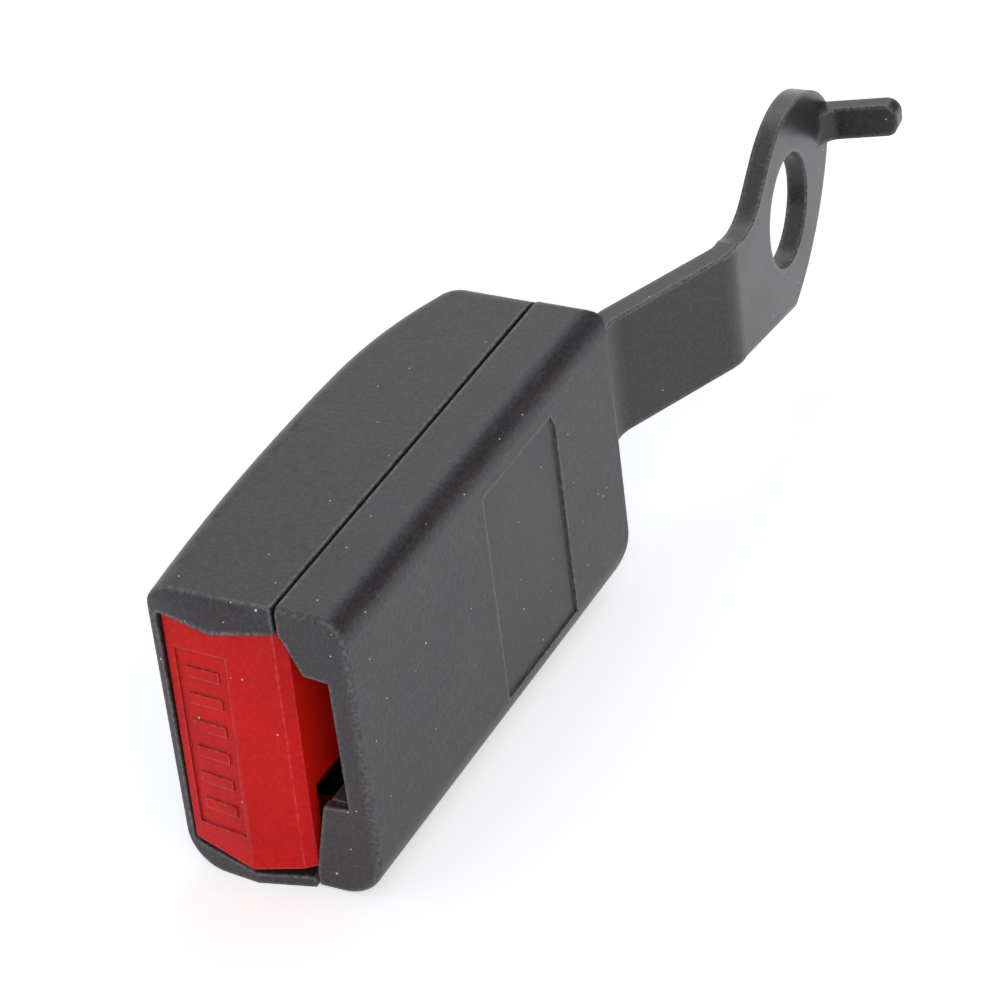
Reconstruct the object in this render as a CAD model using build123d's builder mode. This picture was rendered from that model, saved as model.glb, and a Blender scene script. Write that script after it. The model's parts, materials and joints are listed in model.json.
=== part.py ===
from build123d import *
import os
from math import asin, cos, degrees, radians, sin

# Press-button seat belt buckle on a bent steel anchor strap. Millimetres.
# The origin is the centre of the tongue mouth: +X points out of the mouth, +Y from the
# button side to the slot side, and +Z across the buckle. The tongue slides in the plane Y = 0.

os.makedirs("parts", exist_ok=True)

# Tongue mouth, which sets the frame, the arms of the button and the width of the housing
slot_width = 22.7
side_room = 13.65
frame_side_gap = 0.85
notch_side_y = 3.1
notch_step_y = -0.8

# Driving dimensions of the housing
housing_length = 84.8
slot_side_depth = 11.0
button_side_depth = 20.7
seam_y = -4.2
middle_z = -2.4
cover_wall = 2.0
slot_wall = 1.7
seam_groove = 0.7
long_edge_radius = 4.5
top_edge_radius = 4.0
slot_bottom_radius = 7.0
button_bottom_radius = 6.0
front_edge_radius = 1.0
rear_edge_radius = 1.2
top_rear_radius = 3.5
bottom_rear_radius = 13.0
side_draft = 0.5
bow_radius = 400.0
bow_angle = 5.4
taper_length = 27.8
taper_radius = 77.0
taper_angle = 21.6
rear_corner_radius = 5.0

# The peaked nose of the button-side cover
nose_ridge_y = -13.1
nose_ridge_top = 2.9
nose_ridge_bottom = 2.1
nose_corner_bottom = 0.9
brow_height = 4.6
front_strip = 1.2
rim_floor = 1.8
rim_rise = 2.6

# Panel pressed into the broad face
panel_front_x = -41.6
panel_length = 23.4
panel_margin_top = 7.1
panel_margin_bottom = 6.4
panel_depth = 0.4
panel_chamfer = 2.2

# Press button
button_travel = 6.0
button_clearance = 0.4
button_depth = 14.0
button_ridge_y = -13.1
button_facet_y = -5.5
button_right_y = -3.9
button_skin = 2.4
button_wall = 1.7
button_rise_left = 2.2
button_rise_right = 0.9
button_bottom_gap = 1.2
side_wall_step = 0.65
facets_top = (-0.6, -0.5, -0.9)
facets_bottom = (1.0, 2.7, 0.85)
bevel_depth = 1.2
label_depth = 0.35
label_centre_y = -17.8
label_drop = 0.9
label_width = 8.4
label_height = 30.6
rib_count = 6
rib_length = 5.6
rib_width = 1.8
rib_pitch = 4.6
rib_rise = 0.3
spring_post_radius = 0.9
spring_post_length = 3.0

# Steel frame, latch and tongue passage
steel = 2.0
frame_front_x = -9.0
frame_base_y = 1.9
frame_top_y = -16.0
flange_front_x = -20.7
flange_low_y = -3.2
flange_rear_x = -60.0
joggle_setback = 23.3
joggle_run = 3.0
frame_setback = 5.3
window_length = 9.0
window_width = 13.0
latch_pivot_x = -52.0
latch_pivot_y = -7.7
latch_side_gap = 0.4
latch_thickness = 3.0
latch_front_x = -21.5
latch_barrel_radius = 3.5
tooth_x = -26.0
tooth_length = 4.0
tooth_width = 11.0
tooth_drop = 4.3
pivot_radius = 2.0
washer_radius = 3.6
washer_thickness = 0.5
running_gap = 0.05
lock_bar_x = -27.0
lock_bar_y = -11.5
lock_bar_radius = 1.9
slot_gap = 0.3
arm_thickness = 2.0
arm_gap = 1.4
arm_height = 6.0
arm_rear_x = -40.0
spring_bridge_length = 8.0
spring_bridge_thickness = 1.5
guide_length = 6.6
guide_cheek_y = -0.6

# Ejector and springs
ejector_front_x = -32.0
ejector_length = 14.0
ejector_thickness = 2.9
ejector_rise = 1.7
ejector_side_gap = 0.5
ejector_post_radius = 0.9
ejector_post_length = 4.0
spring_turns = 4
ejector_spring_radius = 1.4
ejector_spring_wire = 0.6
button_spring_radius = 1.6
button_spring_wire = 0.5
button_spring_length = 16.0
post_thickness = 3.0
latch_spring_x = -38.5
latch_spring_radius = 2.3
latch_spring_wire = 0.7
latch_spring_turns = 3

# Anchor strap
strap_side_gap = 0.85
strap_thickness = 3.5
strap_face_y = 0.46
strap_lap = 18.8
first_leg = 12.9
first_bend_angle = 22.6
second_leg = 25.8
second_bend_angle = 28.1
bend_radius = 8.0
eye_distance = 27.0
eye_offset_z = 2.1
eye_radius = 16.8
hole_radius = 9.7
neck_start = 2.6
neck_overlap = 0.4
neck_length = 6.85
neck_waist = 2.25
neck_radius = 12.0
crown_run = 7.0
crown_drop = 3.5
crown_shift = 4.5
flank_run = 12.7
flank_rise = 7.6
chin_drop = 1.6
hook_root = 49.0
hook_width = 5.8
hook_thickness = 2.9
hook_reach = 13.4
hook_centre_z = 7.3
hook_bend_radius = 3.0
hook_tip_radius = 2.2
hook_tilt = 10.0
outline_radius = 2.0
rivet_radius = 2.5
rivet_head_radius = 4.0
rivet_head_height = 1.2
rivet_setback = 11.3
rivet_edge = 5.0
backing_thickness = 1.2
backing_length = 10.0
collar_wall = 1.2
collar_length = 5.0

# Foam damper, locating pins, seam lip and the rails under the frame
damper_x = -44.0
damper_length = 14.0
damper_width = 12.0
pin_radius = 1.5
pin_length = 4.5
boss_radius = 2.6
lip_thickness = 0.9
lip_height = 1.6
lip_gap = 0.2
rail_x = -35.0
rail_length = 44.0
rail_width = 1.4

# Values worked out from the driving dimensions
housing_width = slot_width + 2 * side_room
frame_inner_width = slot_width + 2 * frame_side_gap
strap_width = slot_width - 2 * strap_side_gap
rivet_spacing = strap_width - 2 * rivet_edge
rear_x = -housing_length
bow_length = housing_length - taper_length
joggle_x = rear_x + joggle_setback
frame_rear_x = rear_x + frame_setback
strap_front_x = rear_x + strap_lap
first_bend_x = rear_x - first_leg
rivet_x = rear_x + rivet_setback
top_z = middle_z + housing_width / 2
bottom_z = middle_z - housing_width / 2
slot_face_y = seam_y + slot_side_depth
button_face_y = seam_y - button_side_depth
half_groove = seam_groove / 2
notch_upper_z = top_z - 5.0
notch_lower_z = bottom_z + 3.7
side_wall_floor_z = side_wall_step - slot_width / 2
rail_z = slot_width / 2 - 3.3
panel_top_z = top_z - panel_margin_top
panel_height = housing_width - panel_margin_top - panel_margin_bottom
opening_left_y = button_face_y + front_strip
opening_top_z = top_z - brow_height
opening_bottom_z = bottom_z + rim_floor
button_left_y = opening_left_y + button_clearance
button_top_z = opening_top_z - button_clearance
button_bottom_z = opening_bottom_z + button_bottom_gap
label_centre_z = (button_top_z + button_bottom_z) / 2 + 0.6 - label_drop
frame_half = frame_inner_width / 2
flange_outer = frame_half + steel
arm_inner = flange_outer + arm_gap
arm_outer = arm_inner + arm_thickness
arm_middle = (arm_inner + arm_outer) / 2
frame_base_back = frame_base_y + steel
strap_back_y = strap_face_y - strap_thickness
strap_middle_y = strap_face_y - strap_thickness / 2
post_front_x = arm_rear_x - button_spring_length
ejector_rear_x = ejector_front_x - ejector_length
latch_top_y = latch_pivot_y - latch_thickness / 2
latch_low_y = latch_pivot_y + latch_thickness / 2
backing_y = strap_back_y - backing_thickness


def slot_side_block(inset, start_y):
    """Outer form of the slot-side cover from start_y, drawn in by inset on every closed side."""
    face_y = slot_face_y - inset
    back_x = rear_x + inset
    with BuildPart() as block:
        with BuildSketch(Plane.YZ.offset(back_x)):
            with BuildLine():
                Polyline(
                    (start_y, top_z - inset),
                    (face_y, top_z - inset - side_draft),
                    (face_y, bottom_z + inset),
                    (start_y, bottom_z + inset),
                    close=True,
                )
            make_face()
            face_corners = vertices().group_by(Axis.X)[-1].sort_by(Axis.Y)
            fillet(face_corners[0], radius=slot_bottom_radius - inset)
            top_corner = vertices().group_by(Axis.X)[-1].sort_by(Axis.Y)[-1]
            fillet(top_corner, radius=long_edge_radius - inset)
        extrude(amount=-inset - back_x)
        with BuildSketch(Plane.XZ):
            with BuildLine():
                Polyline((1, top_z), (back_x, top_z), (back_x, bottom_z), (1, bottom_z), close=True)
            make_face()
            fillet(vertices().group_by(Axis.X)[0].sort_by(Axis.Y)[0], radius=bottom_rear_radius - inset)
            fillet(vertices().group_by(Axis.X)[0].sort_by(Axis.Y)[-1], radius=top_rear_radius)
        extrude(amount=housing_width, both=True, mode=Mode.INTERSECT)
    return block.part


def button_side_block(inset, front_x):
    """Outer form of the button-side cover with a square front, drawn in by inset."""
    bow = bow_radius - inset
    centre_x = -bow_radius * sin(radians(bow_angle))
    centre_y = button_face_y + bow_radius * cos(radians(bow_angle))
    start = degrees(asin((front_x - centre_x) / bow))
    end = degrees(asin((-bow_length - centre_x) / bow_radius))
    front_y = centre_y - bow * cos(radians(start))
    heading = (-cos(radians(start)), -sin(radians(start)))
    with BuildPart() as block:
        with BuildSketch(Plane.XY.offset(bottom_z + inset)):
            with BuildLine():
                side = JernArc((front_x, front_y), heading, bow, end - start)
                taper = JernArc(side @ 1, side % 1, taper_radius - inset, -taper_angle - end)
                corner = JernArc(
                    taper @ 1, taper % 1, rear_corner_radius - inset, taper_angle - 90
                )
                Polyline(
                    corner @ 1,
                    ((corner @ 1).X, seam_y - half_groove),
                    (front_x, seam_y - half_groove),
                    side @ 0,
                )
            make_face()
        extrude(amount=housing_width - 2 * inset)
        for level, radius in ((-1, top_edge_radius), (0, button_bottom_radius)):
            rim = faces().filter_by(Axis.Z).sort_by(Axis.Z)[level].edges()
            outer_rim = rim.filter_by(
                lambda edge: edge.center().Y < seam_y - 1 and edge.center().X < front_x - 1
                and edge.center().X > rear_x + inset + 0.01
            )
            fillet(outer_rim, radius=radius - inset)
        with BuildSketch(Plane.XZ):
            with BuildLine():
                Polyline(
                    (front_x, top_z),
                    (rear_x + inset, top_z),
                    (rear_x + inset, bottom_z),
                    (front_x, bottom_z),
                    close=True,
                )
            make_face()
            fillet(vertices().group_by(Axis.X)[0].sort_by(Axis.Y)[0], radius=bottom_rear_radius - inset)
            fillet(vertices().group_by(Axis.X)[0].sort_by(Axis.Y)[-1], radius=top_rear_radius)
        extrude(amount=housing_width, both=True, mode=Mode.INTERSECT)
    return block.part


def nose_envelope():
    """Everything behind the peaked nose: flat at the crown line, a ridge below the brow."""
    far_y = button_face_y - 5
    sections = (
        (top_z, 0.0, 0.0),
        (top_z - brow_height, nose_ridge_top, 0.0),
        (bottom_z, nose_ridge_bottom, nose_corner_bottom),
    )
    with BuildPart() as envelope:
        for level, ridge, corner in sections:
            with BuildSketch(Plane.XY.offset(level)):
                with BuildLine():
                    Polyline(
                        (rear_x - 1, far_y),
                        (corner, far_y),
                        (corner, button_face_y),
                        (ridge, nose_ridge_y),
                        (0, seam_y),
                        (rear_x - 1, seam_y),
                        close=True,
                    )
                make_face()
        loft(ruled=True)
    return envelope.part


def locating_points():
    """Centres (x, z) of the pins that line the two covers up."""
    return (
        (-32.0, bottom_z + 6.2),
        (rear_x + 14.0, bottom_z + 9.0),
        (rear_x + 11.5, top_z - 6.2),
    )


def coil(radius, wire, length, turns, start, direction):
    """A compression spring of square wire, as one swept helix between two flat seats."""
    travel = length - wire
    seat = Vector(*start) + Vector(*direction) * (wire / 2)
    with BuildPart() as spring:
        with BuildLine() as path:
            Helix(
                pitch=travel / turns,
                height=travel,
                radius=radius,
                center=seat,
                direction=direction,
            )
        with BuildSketch(Plane(origin=path.line @ 0, z_dir=path.line % 0)):
            RegularPolygon(wire / 2, 4)
        sweep(path=path.line, is_frenet=True)
    return spring.part


lip_inset = slot_wall + lip_gap
slot_outer = slot_side_block(0, seam_y + half_groove)
slot_room = slot_side_block(slot_wall, seam_y + half_groove)
lip_outer = slot_side_block(lip_inset, seam_y - lip_height)
lip_inner = slot_side_block(lip_inset + lip_thickness, seam_y - lip_height)
button_outer = button_side_block(0, 4.0)
button_room = button_side_block(cover_wall, -cover_wall)
nose = nose_envelope()
pins = locating_points()

# Slot-side cover: front wall with the stepped notch, rear opening for the strap, pressed panel
with BuildPart() as slot_side_cover:
    add(slot_outer)
    front_rim = faces().sort_by(Axis.X)[-1].edges()
    fillet(
        front_rim.filter_by(lambda edge: edge.center().Y > seam_y + 1),
        radius=front_edge_radius,
    )
    with BuildSketch(Plane.XY.offset(bottom_z)):
        with Locations((1, seam_y)):
            Rectangle(housing_length + 1, slot_side_depth, align=(Align.MAX, Align.MIN))
        fillet(vertices().group_by(Axis.X)[0].sort_by(Axis.Y)[-1], radius=rear_edge_radius)
    extrude(amount=housing_width, mode=Mode.INTERSECT)
    add(slot_room, mode=Mode.SUBTRACT)
    with BuildSketch(Plane.YZ.offset(1)):
        with BuildLine():
            Polyline(
                (seam_y, notch_upper_z),
                (seam_y + 0.7, notch_upper_z),
                (notch_step_y, slot_width / 2 + 0.35),
                (notch_side_y, slot_width / 2),
                (notch_side_y, -slot_width / 2),
                (notch_step_y - 0.3, -slot_width / 2 - 0.35),
                (seam_y + half_groove, notch_lower_z),
                (seam_y, notch_lower_z),
                close=True,
            )
        make_face()
    extrude(amount=-cover_wall - 2, mode=Mode.SUBTRACT)
    with BuildSketch(Plane.XZ.offset(-slot_face_y)):
        with Locations((panel_front_x, panel_top_z)):
            Rectangle(panel_length, panel_height, align=(Align.MAX, Align.MAX))
        panel_corner = vertices().group_by(Axis.X)[0].sort_by(Axis.Y)[-1]
        chamfer(panel_corner, length=panel_chamfer, length2=panel_chamfer / 2)
    extrude(amount=panel_depth, mode=Mode.SUBTRACT)
    with BuildSketch(Plane.YZ.offset(rear_x - 1)):
        with Locations((seam_y, 0)):
            Rectangle(
                strap_face_y + collar_wall - seam_y,
                strap_width + 2 * collar_wall,
                align=(Align.MIN, Align.CENTER),
            )
    extrude(amount=cover_wall + 2, mode=Mode.SUBTRACT)
    # Two rails that the steel base rests on
    with BuildSketch(Plane.XZ.offset(-frame_base_back)):
        with Locations((rail_x, rail_z), (rail_x, -rail_z)):
            Rectangle(rail_length, rail_width)
    extrude(amount=frame_base_back - slot_face_y + slot_wall - 0.2)
    # Sockets for the locating pins
    with BuildSketch(Plane.XZ.offset(-seam_y - half_groove)):
        with Locations(*pins):
            Circle(boss_radius)
    extrude(amount=cover_wall - slot_side_depth)
    with BuildSketch(Plane.XZ.offset(-seam_y - half_groove)):
        with Locations(*pins):
            Circle(pin_radius + running_gap)
    extrude(amount=-pin_length - 0.5, mode=Mode.SUBTRACT)
slot_side_cover.part.label = "slot_side_cover"
export_step(slot_side_cover.part, "parts/slot_side_cover.step")

# Button-side cover: peaked nose round the button opening, seam lip, pins and spring posts
with BuildPart() as button_shell_form:
    add(button_outer)
    add(nose, mode=Mode.INTERSECT)
    add(button_room, mode=Mode.SUBTRACT)
button_shell = button_shell_form.part

with BuildPart() as inner_posts_form:
    with BuildSketch(Plane.XZ.offset(-seam_y + half_groove)):
        with Locations(*pins):
            Circle(boss_radius)
    extrude(amount=button_side_depth + 2)
    with BuildSketch(Plane.XZ.offset(-lock_bar_y - arm_height / 2)):
        with Locations((post_front_x, arm_middle), (post_front_x, -arm_middle)):
            Rectangle(post_thickness, 4.2, align=(Align.MAX, Align.CENTER))
    extrude(amount=lock_bar_y + arm_height / 2 - button_face_y + 2)
    add(button_side_block(cover_wall / 2, 4.0), mode=Mode.INTERSECT)
inner_posts = inner_posts_form.part

with BuildPart() as button_side_cover:
    add(lip_outer)
    add(lip_inner, mode=Mode.SUBTRACT)
    with BuildSketch(Plane.XZ.offset(-seam_y - lip_height)):
        Rectangle(4 * housing_length, 4 * housing_width)
    extrude(amount=4 * lip_height, mode=Mode.INTERSECT)
    with BuildSketch(Plane.XZ.offset(-seam_y - lip_height)):
        with Locations((0, opening_bottom_z)):
            Rectangle(
                2 * (button_depth + button_travel + 2),
                opening_top_z - opening_bottom_z,
                align=(Align.CENTER, Align.MIN),
            )
        with Locations((rear_x, 0)):
            Rectangle(12.0, strap_width + 2 * collar_wall + 0.4)
    extrude(amount=4 * lip_height, mode=Mode.SUBTRACT)
    add(button_shell)
    with BuildSketch(Plane.YZ.offset(-button_depth - button_travel - 1)):
        with BuildLine():
            Polyline(
                (seam_y, opening_top_z),
                (opening_left_y, opening_top_z),
                (opening_left_y, opening_bottom_z + rim_rise),
                (nose_ridge_y, opening_bottom_z),
                (seam_y, opening_bottom_z),
                close=True,
            )
        make_face()
        fillet(vertices().group_by(Axis.X)[0].sort_by(Axis.Y)[0], radius=1.0)
        fillet(vertices().group_by(Axis.X)[0].sort_by(Axis.Y)[-1], radius=1.0)
    extrude(amount=button_depth + button_travel + 9, mode=Mode.SUBTRACT)
    add(inner_posts)
    with BuildSketch(Plane.XZ.offset(-seam_y + half_groove)):
        with Locations(*pins):
            Circle(boss_radius)
    extrude(amount=-seam_groove)
    with BuildSketch(Plane.XZ.offset(-seam_y - half_groove)):
        with Locations(*pins):
            Circle(pin_radius)
    extrude(amount=-pin_length)
button_side_cover.part.label = "button_side_cover"
export_step(button_side_cover.part, "parts/button_side_cover.step")


def button_block(shrink, rear):
    """Lofted body of the button between its two plan profiles, drawn in by shrink."""
    levels = ((button_top_z, facets_top), (button_bottom_z, facets_bottom))
    with BuildPart() as block:
        for level, (left, ridge, right) in levels:
            with BuildSketch(Plane.XY.offset(level)):
                with BuildLine():
                    Polyline(
                        (rear, button_left_y),
                        (left - shrink, button_left_y),
                        (ridge - shrink, button_ridge_y),
                        (right - shrink, button_facet_y),
                        (right - shrink - bevel_depth, button_right_y),
                        (rear, button_right_y),
                        close=True,
                    )
                make_face()
        loft(ruled=True)
    return block.part


def button_cavity():
    """Hollow behind the button's face, open to the rear."""
    inner_left = button_left_y + button_wall
    inner_right = button_right_y - button_wall
    with BuildPart() as cavity:
        add(button_block(button_skin, -button_depth - 1))
        with BuildSketch(Plane.YZ.offset(-button_depth - 1)):
            with BuildLine():
                Polyline(
                    (inner_left, button_top_z - button_wall),
                    (inner_right, button_top_z - button_wall),
                    (inner_right, side_wall_floor_z),
                    (seam_y + 1, side_wall_floor_z),
                    (seam_y + 1, button_bottom_z + button_rise_right + button_wall),
                    (button_ridge_y, button_bottom_z + button_wall),
                    (inner_left, button_bottom_z + button_rise_left + button_wall),
                    close=True,
                )
            make_face()
        extrude(amount=button_depth + 6, mode=Mode.INTERSECT)
    return cavity.part


def label_recess():
    """Shallow rectangular recess that follows the left facet of the button."""
    with BuildPart() as recess:
        with BuildSketch(Plane.YZ.offset(-3)):
            with Locations((label_centre_y, label_centre_z)):
                Rectangle(label_width, label_height)
        extrude(amount=8)
        add(button_block(label_depth, -button_depth), mode=Mode.SUBTRACT)
    return recess.part


def label_ribs():
    """Raised ribs in the recess, a little lower than the facet round them."""
    with BuildPart() as ribs:
        with BuildSketch(Plane.YZ.offset(-3)):
            with Locations((label_centre_y, label_centre_z)):
                with GridLocations(1, rib_pitch, 1, rib_count):
                    Rectangle(rib_length, rib_width)
        extrude(amount=8)
        add(button_block(label_depth - rib_rise, -3), mode=Mode.INTERSECT)
    return ribs.part


# Press button: two facets, side wall along the tongue, skirt and two arms
with BuildPart() as press_button:
    add(button_block(0, -button_depth))
    with BuildSketch(Plane.YZ.offset(-button_depth)):
        with BuildLine():
            Polyline(
                (button_left_y, button_top_z),
                (button_left_y, button_bottom_z + button_rise_left),
                (button_ridge_y, button_bottom_z),
                (button_right_y, button_bottom_z + button_rise_right),
                (button_right_y, button_top_z),
                close=True,
            )
        make_face()
        corner = vertices().group_by(Axis.X)[0].sort_by(Axis.Y)[0]
        fillet(corner, radius=0.8)
    extrude(amount=button_depth + 6, mode=Mode.INTERSECT)
    add(button_cavity(), mode=Mode.SUBTRACT)
    add(label_recess(), mode=Mode.SUBTRACT)
    add(label_ribs())
    for side, arm_front_x in ((1, -1.5), (-1, 0.5)):
        with BuildSketch(Plane.YZ.offset(arm_front_x)):
            with Locations((lock_bar_y, side * arm_middle)):
                Rectangle(arm_height, arm_thickness)
        extrude(amount=arm_rear_x - arm_front_x)
    with BuildSketch(Plane.YZ.offset(arm_rear_x)):
        with Locations((lock_bar_y, arm_middle), (lock_bar_y, -arm_middle)):
            Circle(spring_post_radius)
    extrude(amount=-spring_post_length)
    with BuildSketch(Plane.XY):
        with Locations((lock_bar_x, lock_bar_y)):
            Circle(lock_bar_radius)
    extrude(amount=arm_outer, both=True, mode=Mode.SUBTRACT)
press_button.part.label = "press_button"
export_step(press_button.part, "parts/press_button.step")

# Lock bar held in the button's arms and guided by the frame's slots
with BuildPart() as lock_bar:
    with BuildSketch(Plane.XY.offset(-arm_outer)):
        with Locations((lock_bar_x, lock_bar_y)):
            Circle(lock_bar_radius)
    extrude(amount=2 * arm_outer)
    chamfer(edges().filter_by(GeomType.CIRCLE), length=0.3)
lock_bar.part.label = "lock_bar"
export_step(lock_bar.part, "parts/lock_bar.step")

# Button return springs between the arms and the posts of the button-side cover
for name, side in (("button_spring_upper", 1), ("button_spring_lower", -1)):
    button_spring = coil(
        button_spring_radius,
        button_spring_wire,
        button_spring_length,
        spring_turns,
        (arm_rear_x, lock_bar_y, side * arm_middle),
        (-1, 0, 0),
    )
    button_spring.label = name
    export_step(button_spring, f"parts/{name}.step")

# Tongue guide: a throat that narrows from the mouth onto the steel base
with BuildPart() as tongue_guide:
    with BuildSketch(Plane.YZ.offset(-slot_wall)):
        with Locations(((guide_cheek_y + slot_face_y - slot_wall) / 2, 0)):
            Rectangle(slot_face_y - slot_wall - guide_cheek_y, 2 * flange_outer)
    extrude(amount=-guide_length)
    with BuildSketch(Plane.XY):
        with BuildLine():
            Polyline(
                (0, seam_y),
                (0, notch_side_y),
                (-slot_wall - 1, notch_side_y),
                (-slot_wall - guide_length, frame_base_y),
                (-slot_wall - guide_length - 1, frame_base_y),
                (-slot_wall - guide_length - 1, seam_y),
                close=True,
            )
        make_face()
    extrude(amount=slot_width / 2, both=True, mode=Mode.SUBTRACT)
tongue_guide.part.label = "tongue_guide"
export_step(tongue_guide.part, "parts/tongue_guide.step")

# Buckle frame: folded channel with guide slots, pivot holes, tooth window and joggled tail
with BuildPart() as buckle_frame:
    with BuildSketch(Plane.XY):
        with BuildLine():
            Polyline(
                (frame_front_x, frame_base_y),
                (joggle_x, frame_base_y),
                (joggle_x - joggle_run, strap_face_y),
                (frame_rear_x, strap_face_y),
                (frame_rear_x, strap_face_y + steel),
                (joggle_x - joggle_run - 0.6, strap_face_y + steel),
                (joggle_x - 0.6, frame_base_back),
                (frame_front_x, frame_base_back),
                close=True,
            )
        make_face()
    extrude(amount=strap_width / 2, both=True)
    with BuildSketch(Plane.YZ.offset(frame_front_x)):
        with Locations((frame_base_back, 0)):
            Rectangle(
                frame_base_back - frame_top_y,
                2 * flange_outer,
                align=(Align.MAX, Align.CENTER),
            )
        fillet(vertices().group_by(Axis.X)[-1], radius=steel)
        with Locations((frame_base_y, 0)):
            Rectangle(
                frame_base_back - frame_top_y,
                frame_inner_width,
                align=(Align.MAX, Align.CENTER),
                mode=Mode.SUBTRACT,
            )
    extrude(amount=flange_rear_x - frame_front_x)
    # Flanges cut low at the front, with slots for the lock bar and holes for the pivot pin
    with BuildSketch(Plane.XY):
        with BuildLine():
            Polyline(
                (0, flange_low_y),
                (flange_front_x, flange_low_y),
                (flange_front_x, frame_top_y - 1),
                (0, frame_top_y - 1),
                close=True,
            )
        make_face()
        with BuildLine():
            Polyline(
                (flange_rear_x - 1, frame_top_y - 1),
                (flange_rear_x + 5, frame_top_y - 1),
                (flange_rear_x - 1, frame_top_y + 9),
                close=True,
            )
        make_face()
        with Locations((lock_bar_x - button_travel / 2, lock_bar_y)):
            SlotOverall(
                button_travel + 2 * (lock_bar_radius + slot_gap),
                2 * (lock_bar_radius + slot_gap),
            )
        with Locations((latch_pivot_x, latch_pivot_y)):
            Circle(pivot_radius + running_gap)
    extrude(amount=flange_outer + 1, both=True, mode=Mode.SUBTRACT)
    with BuildSketch(Plane.XZ.offset(-frame_base_back)):
        with Locations((tooth_x - tooth_length / 2, 0)):
            RectangleRounded(window_length, window_width, 1.5)
        with Locations((rivet_x, rivet_spacing / 2), (rivet_x, -rivet_spacing / 2)):
            Circle(rivet_radius)
    extrude(amount=steel + 3, both=True, mode=Mode.SUBTRACT)
buckle_frame.part.label = "buckle_frame"
export_step(buckle_frame.part, "parts/buckle_frame.step")

# Latch plate with its barrel and the tooth that holds the tongue
latch_half = frame_half - latch_side_gap
with BuildPart() as latch_plate:
    with BuildSketch(Plane.XY):
        with BuildLine():
            Polyline(
                (latch_front_x, latch_top_y + 1.2),
                (latch_front_x - 1.2, latch_top_y),
                (latch_pivot_x, latch_top_y),
                (latch_pivot_x, latch_low_y),
                (latch_front_x, latch_low_y),
                close=True,
            )
        make_face()
        with Locations((latch_pivot_x, latch_pivot_y)):
            Circle(latch_barrel_radius)
            Circle(pivot_radius + running_gap, mode=Mode.SUBTRACT)
    extrude(amount=latch_half, both=True)
    with BuildSketch(Plane.XY):
        with BuildLine():
            Polyline(
                (tooth_x, latch_low_y - 0.5),
                (tooth_x, latch_low_y + tooth_drop * 0.4),
                (tooth_x - tooth_length * 0.6, latch_low_y + tooth_drop),
                (tooth_x - tooth_length, latch_low_y + tooth_drop),
                (tooth_x - tooth_length, latch_low_y - 0.5),
                close=True,
            )
        make_face()
    extrude(amount=tooth_width / 2, both=True)
latch_plate.part.label = "latch_plate"
export_step(latch_plate.part, "parts/latch_plate.step")

# Latch pivot pin and its two retaining washers
with BuildPart() as latch_pivot_pin:
    with BuildSketch(Plane.XY.offset(-flange_outer - washer_thickness - 0.2)):
        with Locations((latch_pivot_x, latch_pivot_y)):
            Circle(pivot_radius)
    extrude(amount=2 * (flange_outer + washer_thickness + 0.2))
latch_pivot_pin.part.label = "latch_pivot_pin"
export_step(latch_pivot_pin.part, "parts/latch_pivot_pin.step")

with BuildPart() as pivot_washers:
    with BuildSketch(Plane.XY.offset(flange_outer), Plane.XY.offset(-flange_outer - washer_thickness)):
        with Locations((latch_pivot_x, latch_pivot_y)):
            Circle(washer_radius)
            Circle(pivot_radius, mode=Mode.SUBTRACT)
    extrude(amount=washer_thickness)
pivot_washers.part.label = "pivot_washers"
export_step(pivot_washers.part, "parts/pivot_washers.step")

# Spring bridge across the flanges and the latch spring below it
with BuildPart() as spring_bridge:
    with BuildSketch(Plane.XZ.offset(-frame_top_y)):
        with Locations((latch_spring_x, 0)):
            RectangleRounded(spring_bridge_length, 2 * flange_outer, 1.0)
    extrude(amount=spring_bridge_thickness)
spring_bridge.part.label = "spring_bridge"
export_step(spring_bridge.part, "parts/spring_bridge.step")

latch_spring = coil(
    latch_spring_radius,
    latch_spring_wire,
    latch_top_y - frame_top_y,
    latch_spring_turns,
    (latch_spring_x, frame_top_y, 0),
    (0, 1, 0),
)
latch_spring.label = "latch_spring"
export_step(latch_spring, "parts/latch_spring.step")

# Ejector: a slider on the steel base, pushed to the mouth by its spring
ejector_floor_y = frame_base_y - 0.3
ejector_half = frame_half - ejector_side_gap
with BuildPart() as ejector:
    with BuildSketch(Plane.XZ.offset(-ejector_floor_y)):
        with BuildLine():
            Polyline(
                (ejector_front_x, ejector_half),
                (ejector_front_x - 5, ejector_half),
                (ejector_front_x - 7, ejector_half / 2),
                (ejector_rear_x, ejector_half / 2),
                (ejector_rear_x, -ejector_half / 2),
                (ejector_front_x - 7, -ejector_half / 2),
                (ejector_front_x - 5, -ejector_half),
                (ejector_front_x, -ejector_half),
                close=True,
            )
        make_face()
    extrude(amount=ejector_thickness)
    with BuildSketch(Plane.XZ.offset(-ejector_floor_y)):
        with Locations((ejector_rear_x, 0)):
            Rectangle(3.0, ejector_half, align=(Align.MIN, Align.CENTER))
    extrude(amount=ejector_thickness + ejector_rise)
    with BuildSketch(Plane.YZ.offset(ejector_rear_x)):
        with Locations((strap_middle_y, 0)):
            Circle(ejector_post_radius)
    extrude(amount=-ejector_post_length)
ejector.part.label = "ejector"
export_step(ejector.part, "parts/ejector.step")

ejector_spring = coil(
    ejector_spring_radius,
    ejector_spring_wire,
    ejector_rear_x - strap_front_x,
    spring_turns,
    (ejector_rear_x, strap_middle_y, 0),
    (-1, 0, 0),
)
ejector_spring.label = "ejector_spring"
export_step(ejector_spring, "parts/ejector_spring.step")

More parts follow.
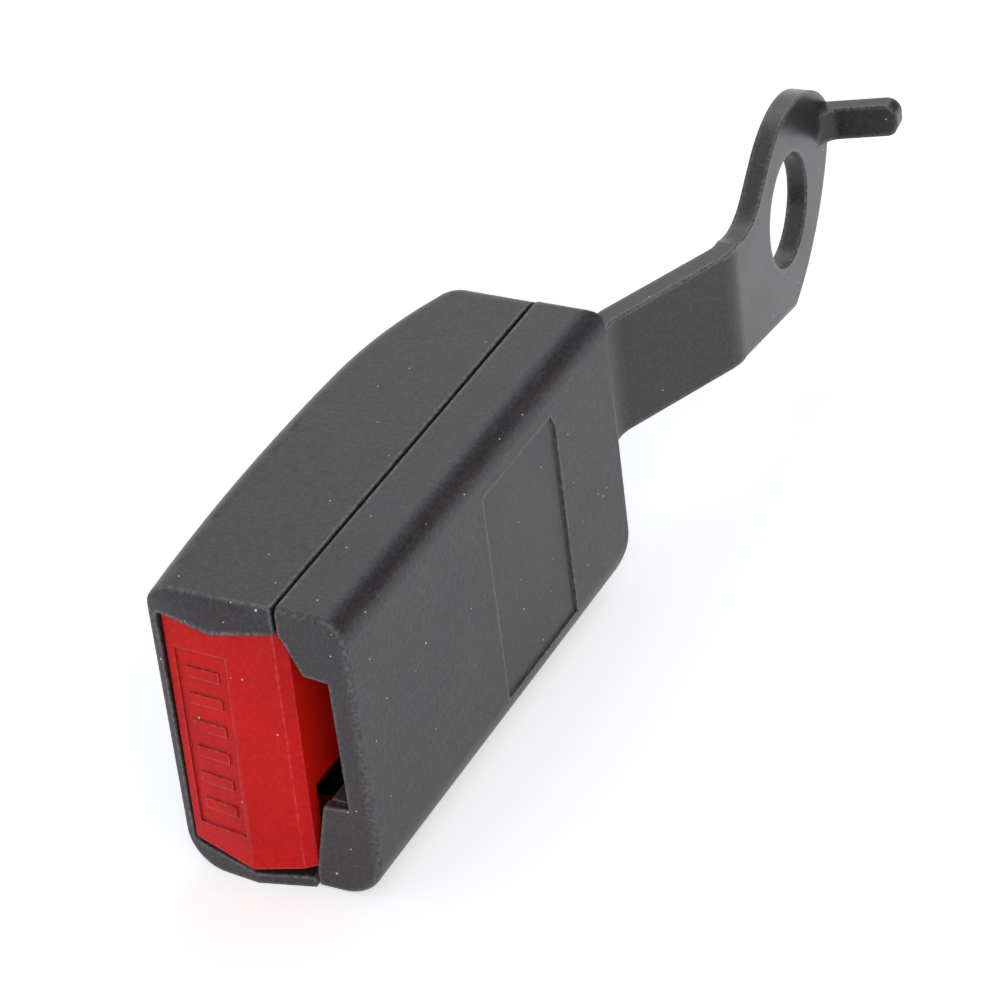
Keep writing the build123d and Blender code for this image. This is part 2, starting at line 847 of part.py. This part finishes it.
# Anchor strap: straight tongue line, two bends, eye plate with the hole and the hook prong
rise = radians(first_bend_angle)
fall = radians(second_bend_angle - first_bend_angle)
bend_x = first_bend_x - second_leg * cos(rise)
bend_y = strap_face_y + second_leg * sin(rise)
eye_along = (-cos(fall), -sin(fall), 0)
eye_out = (-sin(fall), cos(fall), 0)
eye_plane = Plane(origin=(bend_x, bend_y, 0), x_dir=eye_along, z_dir=eye_out)
lift = radians(hook_tilt)
hook_direction = (-sin(fall) * cos(lift), cos(fall) * cos(lift), sin(lift))
eye_top = eye_offset_z + eye_radius
eye_low = eye_offset_z - eye_radius - chin_drop
with BuildPart() as anchor_strap:
    with BuildSketch(Plane.XY):
        with BuildLine():
            face_line = FilletPolyline(
                (strap_front_x, strap_face_y),
                (first_bend_x, strap_face_y),
                (bend_x, bend_y),
                (bend_x - neck_start * cos(fall), bend_y - neck_start * sin(fall)),
                radius=bend_radius,
            )
            offset(face_line, amount=strap_thickness, side=Side.LEFT)
        make_face()
    extrude(amount=strap_width / 2, both=True)
    with BuildSketch(eye_plane):
        with BuildLine():
            neck = FilletPolyline(
                (neck_start, strap_width / 2),
                (neck_start + neck_length, strap_width / 2 - neck_waist),
                (eye_distance - crown_run, eye_top - crown_drop),
                radius=neck_radius,
            )
            crown = ThreePointArc(
                neck @ 1,
                (eye_distance + crown_shift, eye_top),
                (hook_root, hook_centre_z + hook_width / 2),
            )
            flank = ThreePointArc(
                (hook_root, hook_centre_z - hook_width / 2),
                (eye_distance + flank_run, eye_low + flank_rise),
                (eye_distance, eye_low),
            )
            Line(crown @ 1, flank @ 0)
            Polyline(
                flank @ 1,
                (neck_start - neck_overlap, -strap_width / 2),
                (neck_start - neck_overlap, strap_width / 2),
                neck @ 0,
            )
        make_face()
        low_corner = vertices().sort_by_distance((eye_distance, eye_low, 0))[0]
        fillet(low_corner, radius=outline_radius)
        with Locations((eye_distance, eye_offset_z)):
            Circle(hole_radius, mode=Mode.SUBTRACT)
    extrude(amount=-strap_thickness)
    with BuildSketch(eye_plane):
        with Locations((hook_root, hook_centre_z)):
            Rectangle(hook_thickness, hook_width, align=(Align.MAX, Align.CENTER))
    extrude(amount=hook_reach, dir=hook_direction)
    hook_tip = faces().sort_by(Axis((0, 0, 0), eye_out))[-1]
    fillet(hook_tip.edges().filter_by(Axis(origin=(0, 0, 0), direction=eye_along)), radius=hook_tip_radius)
    inner_root = eye_plane.from_local_coords((hook_root - hook_thickness, hook_centre_z, 0))
    fillet(edges().sort_by_distance(inner_root)[0], radius=hook_bend_radius)
    root_edges = edges().filter_by(Axis.Z).filter_by_position(
        Axis.X, bend_x - hook_root - 1, bend_x - hook_root + 1.5
    )
    fillet(root_edges.sort_by(Axis.Y)[0], radius=hook_bend_radius)
    with BuildSketch(Plane.XZ.offset(-strap_face_y)):
        with Locations((rivet_x, rivet_spacing / 2), (rivet_x, -rivet_spacing / 2)):
            Circle(rivet_radius)
    extrude(amount=strap_thickness, mode=Mode.SUBTRACT)
anchor_strap.part.label = "anchor_strap"
export_step(anchor_strap.part, "parts/anchor_strap.step")

# Backing plate and the two rivets through frame, strap and plate
with BuildPart() as rivet_backing:
    with BuildSketch(Plane.XZ.offset(-strap_back_y)):
        with Locations((rivet_x, 0)):
            RectangleRounded(backing_length, strap_width, 1.5)
        with Locations((rivet_x, rivet_spacing / 2), (rivet_x, -rivet_spacing / 2)):
            Circle(rivet_radius, mode=Mode.SUBTRACT)
    extrude(amount=backing_thickness)
rivet_backing.part.label = "rivet_backing"
export_step(rivet_backing.part, "parts/rivet_backing.step")

with BuildPart() as strap_rivets:
    with BuildSketch(Plane.XZ.offset(-strap_face_y - steel)):
        with Locations((rivet_x, rivet_spacing / 2), (rivet_x, -rivet_spacing / 2)):
            Circle(rivet_radius)
    extrude(amount=strap_face_y + steel - backing_y)
    for seat_y, direction in ((strap_face_y + steel, -1), (backing_y, 1)):
        with BuildSketch(Plane.XZ.offset(-seat_y)):
            with Locations((rivet_x, rivet_spacing / 2), (rivet_x, -rivet_spacing / 2)):
                Circle(rivet_head_radius)
        extrude(amount=direction * rivet_head_height, taper=30)
strap_rivets.part.label = "strap_rivets"
export_step(strap_rivets.part, "parts/strap_rivets.step")

# Collar that fills the rear opening round the strap
collar_front_x = frame_rear_x - 0.5
with BuildPart() as strap_collar:
    with BuildSketch(Plane.YZ.offset(collar_front_x)):
        with Locations((strap_face_y + collar_wall, 0)):
            Rectangle(
                strap_face_y + collar_wall - seam_y,
                strap_width + 2 * collar_wall,
                align=(Align.MAX, Align.CENTER),
            )
        with Locations((strap_face_y, 0)):
            Rectangle(
                strap_thickness,
                strap_width,
                align=(Align.MAX, Align.CENTER),
                mode=Mode.SUBTRACT,
            )
    extrude(amount=-collar_length)
strap_collar.part.label = "strap_collar"
export_step(strap_collar.part, "parts/strap_collar.step")

# Foam damper between the steel base and the slot-side cover
with BuildPart() as frame_damper:
    with BuildSketch(Plane.XZ.offset(-frame_base_back)):
        with Locations((damper_x, 0)):
            Rectangle(damper_length, damper_width)
    extrude(amount=frame_base_back - slot_face_y + slot_wall)
frame_damper.part.label = "frame_damper"
export_step(frame_damper.part, "parts/frame_damper.step")
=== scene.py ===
from math import radians

import bpy
from mathutils import Matrix, Vector
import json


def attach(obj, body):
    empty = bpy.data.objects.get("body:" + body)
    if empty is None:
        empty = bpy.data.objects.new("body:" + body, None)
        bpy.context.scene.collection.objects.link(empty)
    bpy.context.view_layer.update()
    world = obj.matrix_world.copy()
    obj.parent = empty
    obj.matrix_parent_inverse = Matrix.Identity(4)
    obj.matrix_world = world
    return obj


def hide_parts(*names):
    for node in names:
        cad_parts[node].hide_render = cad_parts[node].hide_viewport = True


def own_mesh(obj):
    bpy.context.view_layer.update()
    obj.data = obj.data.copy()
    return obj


MM = 0.001

# Camera, in millimetres and degrees
CAMERA_PLACE = (386.8, 266.1, 358.7)
CAMERA_AIM = (-52.5, 3.1, 7.3)
CAMERA_ROLL = -7.56
CAMERA_LENS = 151.2

# Floor, in metres, and the strength that makes it white where it is seen or mirrored
FLOOR_Z = -0.0274
FLOOR_SIZE = 8.0
FLOOR_CLEARANCE = 0.00002
FLOOR_GLOW = 0.5

# Colours, linear
HOUSING = (0.031, 0.026, 0.029)
STRAP = (0.024, 0.021, 0.023)
RED = (0.68, 0.006, 0.006)
# Red painted brighter for the faces to the slot side, standing in for the light that reaches them
RED_BRIGHTENED_SIDE = (1.0, 0.016, 0.008)
BLACK = (0.045, 0.036, 0.037)
STEEL = (0.42, 0.42, 0.44)
DARK_STEEL = (0.30, 0.30, 0.32)
FOAM = (0.03, 0.03, 0.032)
DUST = (0.85, 0.84, 0.82)
FLOOR_LIGHT = (0.93, 0.93, 0.93)
FLOOR_DARK = (0.90, 0.90, 0.90)
SKY = (0.50, 0.51, 0.54)
CARD = (0.03, 0.03, 0.032)
WHITE = (1.0, 1.0, 1.0)

# Dark card behind the object to its right, which shapes the rounded long edges
CARD_TOWARDS = (-0.72, 0.56, 0.40)
CARD_DISTANCE = 0.9
CARD_SIZE = 1.25
CARD_FULL = 0.6

# Lamps: place, size, power and tint
LAMPS_AIM = (-0.06, 0.0, 0.0)
LAMPS = {
    "key": ((0.72, 0.48, 0.44), 0.7, 2.4, (1.0, 1.0, 1.0)),
    "back": ((-0.95, -0.25, 0.9), 0.7, 1.5, (0.88, 0.94, 1.0)),
    "side": ((-0.55, 1.0, 0.08), 0.8, 1.4, (1.0, 0.94, 0.91)),
}

# Relief and marks of the surfaces, in metres
RELIEF = 0.00006
STEEL_RELIEF = 0.00004
# How far the painted shade in the hollows reaches
HOLLOW_SHADE_REACH = 0.0012

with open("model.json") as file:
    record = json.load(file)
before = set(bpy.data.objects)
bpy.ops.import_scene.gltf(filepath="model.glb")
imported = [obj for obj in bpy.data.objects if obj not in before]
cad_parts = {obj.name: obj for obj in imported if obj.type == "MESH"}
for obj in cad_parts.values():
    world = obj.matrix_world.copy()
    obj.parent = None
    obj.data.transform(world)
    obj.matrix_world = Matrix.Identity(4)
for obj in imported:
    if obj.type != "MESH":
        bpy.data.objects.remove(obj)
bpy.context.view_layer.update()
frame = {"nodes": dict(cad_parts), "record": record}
nodes = frame["nodes"]


def new_material(name):
    material = bpy.data.materials.new(name)
    material.use_nodes = True
    tree = material.node_tree
    return material, tree, tree.nodes["Principled BSDF"]


def node(tree, kind, **settings):
    made = tree.nodes.new(kind)
    for key, value in settings.items():
        setattr(made, key, value)
    return made


def math_node(tree, operation, first, second=None, clamp=False):
    made = node(tree, "ShaderNodeMath", operation=operation, use_clamp=clamp)
    for index, value in enumerate((first, second)):
        if value is None:
            continue
        if isinstance(value, (int, float)):
            made.inputs[index].default_value = value
        else:
            tree.links.new(value, made.inputs[index])
    return made.outputs[0]


def colour_mix(tree, factor, first, second):
    made = node(tree, "ShaderNodeMix", data_type="RGBA")
    for socket, value in ((0, factor), (6, first), (7, second)):
        if isinstance(value, (int, float)):
            made.inputs[socket].default_value = value
        elif isinstance(value, tuple):
            made.inputs[socket].default_value = (*value, 1.0)
        else:
            tree.links.new(value, made.inputs[socket])
    return made.outputs[2]


def noise(tree, vector, scale, detail=3.0, roughness=0.55, distortion=0.0):
    made = node(tree, "ShaderNodeTexNoise")
    made.inputs["Scale"].default_value = scale
    made.inputs["Detail"].default_value = detail
    made.inputs["Roughness"].default_value = roughness
    made.inputs["Distortion"].default_value = distortion
    tree.links.new(vector, made.inputs["Vector"])
    return made.outputs["Fac"]


def ramp(tree, value, low, high, out_low=0.0, out_high=1.0):
    made = node(tree, "ShaderNodeMapRange", clamp=True)
    for name, number in (
        ("From Min", low), ("From Max", high), ("To Min", out_low), ("To Max", out_high),
    ):
        made.inputs[name].default_value = number
    tree.links.new(value, made.inputs["Value"])
    return made.outputs["Result"]


def seen_rays(tree):
    """One for rays that show a background: those of the camera, of reflections and through glass."""
    paths = node(tree, "ShaderNodeLightPath")
    mirrored = math_node(tree, "ADD", paths.outputs["Is Glossy Ray"], paths.outputs["Is Transmission Ray"])
    return math_node(tree, "ADD", mirrored, paths.outputs["Is Camera Ray"], clamp=True)


def specks(tree, vector, cells, radius, share):
    """Mask of small round specks: one in each cell of a chosen share of the cells."""
    cell = node(tree, "ShaderNodeTexVoronoi", feature="F1")
    cell.inputs["Scale"].default_value = cells
    tree.links.new(vector, cell.inputs["Vector"])
    parts = node(tree, "ShaderNodeSeparateColor")
    tree.links.new(cell.outputs["Color"], parts.inputs[0])
    near = ramp(tree, cell.outputs["Distance"], radius * 0.6, radius, 1.0, 0.0)
    chosen = math_node(tree, "LESS_THAN", parts.outputs[0], share)
    return math_node(tree, "MULTIPLY", near, chosen)


def scratches(tree, vector, scale, turn, width):
    """Mask of thin straight scratches, broken up along their length."""
    mapping = node(tree, "ShaderNodeMapping")
    mapping.inputs["Rotation"].default_value = turn
    mapping.inputs["Scale"].default_value = (1.0, 0.035, 1.0)
    tree.links.new(vector, mapping.inputs["Vector"])
    cell = node(tree, "ShaderNodeTexVoronoi", feature="DISTANCE_TO_EDGE")
    cell.inputs["Scale"].default_value = scale
    tree.links.new(mapping.outputs[0], cell.inputs["Vector"])
    line = ramp(tree, cell.outputs["Distance"], 0.0, width, 1.0, 0.0)
    patch = ramp(tree, noise(tree, vector, scale * 0.5), 0.56, 0.66)
    return math_node(tree, "MULTIPLY", line, patch)


def rounded_edge(tree, radius, reach):
    """Normal with the edges rounded off, and a mask of the edges out to a reach."""
    rounded = node(tree, "ShaderNodeBevel", samples=4)
    rounded.inputs["Radius"].default_value = radius
    wide = node(tree, "ShaderNodeBevel", samples=4)
    wide.inputs["Radius"].default_value = reach
    turn = node(tree, "ShaderNodeVectorMath", operation="DOT_PRODUCT")
    tree.links.new(wide.outputs[0], turn.inputs[0])
    tree.links.new(node(tree, "ShaderNodeNewGeometry").outputs["Normal"], turn.inputs[1])
    return rounded.outputs[0], ramp(tree, turn.outputs["Value"], 0.995, 0.95)


def painted_hollow_shade(tree, reach):
    """Painted shade: an ambient-occlusion mask of the narrow hollows, such as the foot of a rib or a step,
    where shade falls.
    """
    shade = node(tree, "ShaderNodeAmbientOcclusion", samples=6, only_local=True)
    shade.inputs["Distance"].default_value = reach
    return ramp(tree, shade.outputs["AO"], 0.85, 0.45)


def brightened_side_mask(tree):
    """One on the faces that look to the slot side, whose colour is painted brighter to stand in for light."""
    parts = node(tree, "ShaderNodeSeparateXYZ")
    tree.links.new(node(tree, "ShaderNodeNewGeometry").outputs["True Normal"], parts.inputs[0])
    return ramp(tree, parts.outputs["Y"], 0.90, 0.98)


def bumped(tree, height, strength, distance, normal):
    """Normal with the relief of a height field."""
    bump = node(tree, "ShaderNodeBump")
    bump.inputs["Strength"].default_value = strength
    bump.inputs["Distance"].default_value = distance
    tree.links.new(height, bump.inputs["Height"])
    tree.links.new(normal, bump.inputs["Normal"])
    return bump.outputs[0]


def moulded(
    name, base, roughness, grain, bump, edge,
    reach=0.0004, dust=0.05, wear=0.12, rub_and_highlight=0.8, specular=0.5, contrast=0.8, brightened_side=None,
):
    """Moulded plastic: eroded grain, cloudy wear, edges lightened as rubbed wear and as painted highlight,
    dust, faint scratches, and painted shade darkening the hollows.

    reach is how far the lightened edges, rubbed wear and painted highlight, go, in metres. The faces to the
    slot side take a second colour, painted brighter to stand in for the light that reaches them, with an
    etched tone and relief.
    """
    material, tree, shader = new_material(name)
    place = node(tree, "ShaderNodeTexCoord").outputs["Object"]
    normal, rim = rounded_edge(tree, edge, reach)
    fine = noise(tree, place, grain, 4.0)
    cloud = noise(tree, place, 60.0, 5.0, 0.6, 0.4)
    light = tuple(min(1.0, part * 1.15 + 0.002) for part in base)
    dark = tuple(part * 0.9 for part in base)
    # The pale colour serves the scratches and rubbed wear, and also the painted highlight along the edges.
    pale_wear_and_highlight = tuple(min(1.0, part * 1.5 + 0.22) for part in base)
    pit = tuple(part * 0.45 for part in base)
    crest = tuple(min(1.0, part * 1.5 + 0.012) for part in base)
    tone = colour_mix(tree, ramp(tree, cloud, 0.35, 0.68), dark, light)
    tone = colour_mix(tree, ramp(tree, fine, 0.50, 0.70, 0.0, contrast), tone, crest)
    tone = colour_mix(tree, ramp(tree, fine, 0.48, 0.30, 0.0, contrast), tone, pit)
    scratch = math_node(
        tree, "ADD",
        scratches(tree, place, 260.0, (0.3, 0.5, 0.9), 0.012),
        scratches(tree, place, 190.0, (1.1, 0.2, 2.2), 0.010),
        clamp=True,
    )
    tone = colour_mix(tree, math_node(tree, "MULTIPLY", scratch, wear), tone, pale_wear_and_highlight)
    # Lightened edges: part real rubbed wear, part painted highlight along the edges and ridges.
    rubbed_and_highlit = math_node(tree, "MULTIPLY", rim, ramp(tree, fine, 0.40, 0.6, 0.3 * rub_and_highlight, rub_and_highlight))
    tone = colour_mix(tree, rubbed_and_highlit, tone, pale_wear_and_highlight)
    speck = math_node(
        tree, "ADD",
        specks(tree, place, 240.0, 0.060, dust),
        specks(tree, place, 700.0, 0.11, dust),
        clamp=True,
    )
    tone = colour_mix(tree, math_node(tree, "MULTIPLY", speck, 0.95), tone, DUST)
    relief = fine
    # Faces to the slot side: colour painted brighter to stand in for light, with an etched tone and relief.
    if brightened_side:
        on_brightened_side = brightened_side_mask(tree)
        etch = noise(tree, place, 0.35 * grain, 5.0, 0.7)
        etched_brightened = colour_mix(tree, ramp(tree, etch, 0.35, 0.65), tuple(0.9 * part for part in brightened_side), brightened_side)
        tone = colour_mix(tree, on_brightened_side, tone, etched_brightened)
        etched = math_node(tree, "MULTIPLY", etch, math_node(tree, "MULTIPLY", on_brightened_side, 4.0))
        relief = math_node(tree, "ADD", fine, etched)
    # Painted shade: the hollows are darkened towards a fifth of the base colour, standing in for the shade
    # that falls there.
    shade_tone = tuple(part * 0.2 for part in base)
    hollow_shade = math_node(tree, "MULTIPLY", painted_hollow_shade(tree, HOLLOW_SHADE_REACH), 0.85)
    tone = colour_mix(tree, hollow_shade, tone, shade_tone)
    tree.links.new(tone, shader.inputs["Base Color"])
    rough = ramp(tree, cloud, 0.3, 0.7, roughness - 0.04, roughness + 0.05)
    rough = math_node(tree, "ADD", rough, math_node(tree, "MULTIPLY", speck, 0.2))
    tree.links.new(rough, shader.inputs["Roughness"])
    shader.inputs["Specular IOR Level"].default_value = specular
    height = math_node(tree, "ADD", relief, math_node(tree, "MULTIPLY", speck, 0.8))
    height = math_node(tree, "SUBTRACT", height, math_node(tree, "MULTIPLY", scratch, 0.3))
    tree.links.new(bumped(tree, height, bump, RELIEF, normal), shader.inputs["Normal"])
    return material


def plated(name, base, roughness, stretch, edge):
    """Plated or drawn steel with a rolling grain along one axis and handling marks."""
    material, tree, shader = new_material(name)
    place = node(tree, "ShaderNodeTexCoord").outputs["Object"]
    mapping = node(tree, "ShaderNodeMapping")
    mapping.inputs["Scale"].default_value = stretch
    tree.links.new(place, mapping.inputs["Vector"])
    normal, rim = rounded_edge(tree, edge, edge)
    grain = noise(tree, mapping.outputs[0], 2600.0, 3.0)
    cloud = noise(tree, place, 90.0, 5.0, 0.6)
    light = tuple(min(1.0, part * 1.2) for part in base)
    dark = tuple(part * 0.75 for part in base)
    tone = colour_mix(tree, ramp(tree, cloud, 0.3, 0.7), dark, light)
    tone = colour_mix(tree, math_node(tree, "MULTIPLY", rim, 0.4), tone, light)
    tree.links.new(tone, shader.inputs["Base Color"])
    tree.links.new(ramp(tree, grain, 0.3, 0.7, roughness - 0.06, roughness + 0.1), shader.inputs["Roughness"])
    shader.inputs["Metallic"].default_value = 1.0
    tree.links.new(bumped(tree, grain, 0.25, STEEL_RELIEF, normal), shader.inputs["Normal"])
    return material


# Stretch of the rolling grain, and the finish of each material slot
ALONG_X = (0.05, 1.0, 1.0)
ALONG_Z = (1.0, 1.0, 0.05)
EVEN = (1.0, 1.0, 1.0)
finishes = {
    "housing_plastic": moulded(
        "housing_plastic", HOUSING, 0.40, 1700.0, 0.8, 0.0004,
        reach=0.0009, dust=0.10, specular=0.45,
    ),
    "button_plastic": moulded(
        "button_plastic", RED, 0.30, 1500.0, 0.3, 0.0004,
        dust=0.04, wear=0.08, rub_and_highlight=0.6, specular=0.16, contrast=0.25, brightened_side=RED_BRIGHTENED_SIDE,
    ),
    "black_plastic": moulded("black_plastic", BLACK, 0.5, 2200.0, 0.3, 0.0002, dust=0.02),
    "foam": moulded("foam", FOAM, 0.9, 3000.0, 1.0, 0.0002, dust=0.0),
    "strap_steel": moulded(
        "strap_steel", STRAP, 0.30, 1900.0, 0.35, 0.0006,
        reach=0.0012, dust=0.05, wear=0.2, specular=0.5,
    ),
    "frame_steel": plated("frame_steel", STEEL, 0.34, ALONG_X, 0.00015),
    "latch_steel": plated("latch_steel", DARK_STEEL, 0.32, ALONG_X, 0.00015),
    "pin_steel": plated("pin_steel", STEEL, 0.28, ALONG_Z, 0.0001),
    "spring_steel": plated("spring_steel", DARK_STEEL, 0.3, EVEN, 0.00005),
}
for part in frame["record"]["subparts"]:
    mesh = nodes[part["node"]].data
    mesh.materials.clear()
    mesh.materials.append(finishes[part["material_slot"]])

# Coil springs of the joints: each is copied into its own object on the housing body, in place of its CAD part
for joint in frame["record"]["behaviour"]["joints"]:
    for spring in joint.get("deforming_nodes", ()):
        if spring["mode"] != "scale_x":
            continue
        cad = nodes[spring["node"]]
        coil = bpy.data.objects.new(spring["node"] + "_coil", cad.data.copy())
        bpy.context.scene.collection.objects.link(coil)
        coil.matrix_world = cad.matrix_world.copy()
        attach(coil, "housing")
        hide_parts(spring["node"])
        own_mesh(coil)


def square(name, size):
    """Flat square on its own origin."""
    mesh = bpy.data.meshes.new(name)
    half = size / 2
    corners = [(-half, -half, 0), (half, -half, 0), (half, half, 0), (-half, half, 0)]
    mesh.from_pydata(corners, [], [(0, 1, 2, 3)])
    made = bpy.data.objects.new(name, mesh)
    bpy.context.scene.collection.objects.link(made)
    return made


# Floor
floor = square("floor", FLOOR_SIZE)
floor.location = (0, 0, FLOOR_Z - FLOOR_CLEARANCE)
floor_material, floor_tree, floor_shader = new_material("floor")
floor_place = node(floor_tree, "ShaderNodeTexCoord").outputs["Object"]
floor_tone = colour_mix(floor_tree, noise(floor_tree, floor_place, 900.0), FLOOR_DARK, FLOOR_LIGHT)
floor_tree.links.new(floor_tone, floor_shader.inputs["Base Color"])
floor_lift = math_node(floor_tree, "MULTIPLY", seen_rays(floor_tree), FLOOR_GLOW)
floor_shader.inputs["Emission Color"].default_value = (*WHITE, 1.0)
floor_tree.links.new(floor_lift, floor_shader.inputs["Emission Strength"])
floor_shader.inputs["Roughness"].default_value = 0.9
floor_shader.inputs["Specular IOR Level"].default_value = 0.1
floor.data.materials.append(floor_material)

# World: white where it is seen or mirrored, softer as a light
world = bpy.data.worlds.new("studio")
bpy.context.scene.world = world
world.use_nodes = True
tree = world.node_tree
seen = colour_mix(tree, seen_rays(tree), SKY, WHITE)
tree.links.new(seen, tree.nodes["Background"].inputs["Color"])

# Lamps
for name, (place, size, power, tint) in LAMPS.items():
    data = bpy.data.lights.new(name, "AREA")
    data.shape = "DISK"
    data.size = size
    data.energy = power
    data.color = tint
    lamp = bpy.data.objects.new(name, data)
    lamp.location = place
    lamp.rotation_euler = (Vector(LAMPS_AIM) - Vector(place)).to_track_quat("-Z", "Y").to_euler()
    bpy.context.scene.collection.objects.link(lamp)

# Dark card, unseen by the camera and faded out towards its rim
outward = Vector(CARD_TOWARDS).normalized()
reach = CARD_SIZE / 2
card = square("dark_card", CARD_SIZE)
card.location = Vector(LAMPS_AIM) + CARD_DISTANCE * outward
card.rotation_euler = outward.to_track_quat("Z", "Y").to_euler()
card.visible_camera = False
card.visible_shadow = False
card.visible_diffuse = False
card_material, card_tree, card_shader = new_material("dark_card")
card_shader.inputs["Base Color"].default_value = (*CARD, 1.0)
card_shader.inputs["Roughness"].default_value = 1.0
card_length = node(card_tree, "ShaderNodeVectorMath", operation="LENGTH")
card_tree.links.new(node(card_tree, "ShaderNodeTexCoord").outputs["Object"], card_length.inputs[0])
card_fade = ramp(card_tree, card_length.outputs["Value"], CARD_FULL * reach, reach, 1.0, 0.0)
card_tree.links.new(card_fade, card_shader.inputs["Alpha"])
card.data.materials.append(card_material)

# Camera
place = Vector(CAMERA_PLACE) * MM
aim = Vector(CAMERA_AIM) * MM
camera_data = bpy.data.cameras.new("camera")
camera_data.lens = CAMERA_LENS
camera_data.sensor_width = 36.0
camera_data.clip_start = 0.01
camera_data.clip_end = 50.0
camera = bpy.data.objects.new("camera", camera_data)
turn = (aim - place).to_track_quat("-Z", "Y").to_matrix().to_4x4()
camera.matrix_world = Matrix.Translation(place) @ turn @ Matrix.Rotation(radians(CAMERA_ROLL), 4, "Z")
bpy.context.scene.collection.objects.link(camera)
bpy.context.scene.camera = camera
bpy.context.scene.view_settings.view_transform = "Standard"
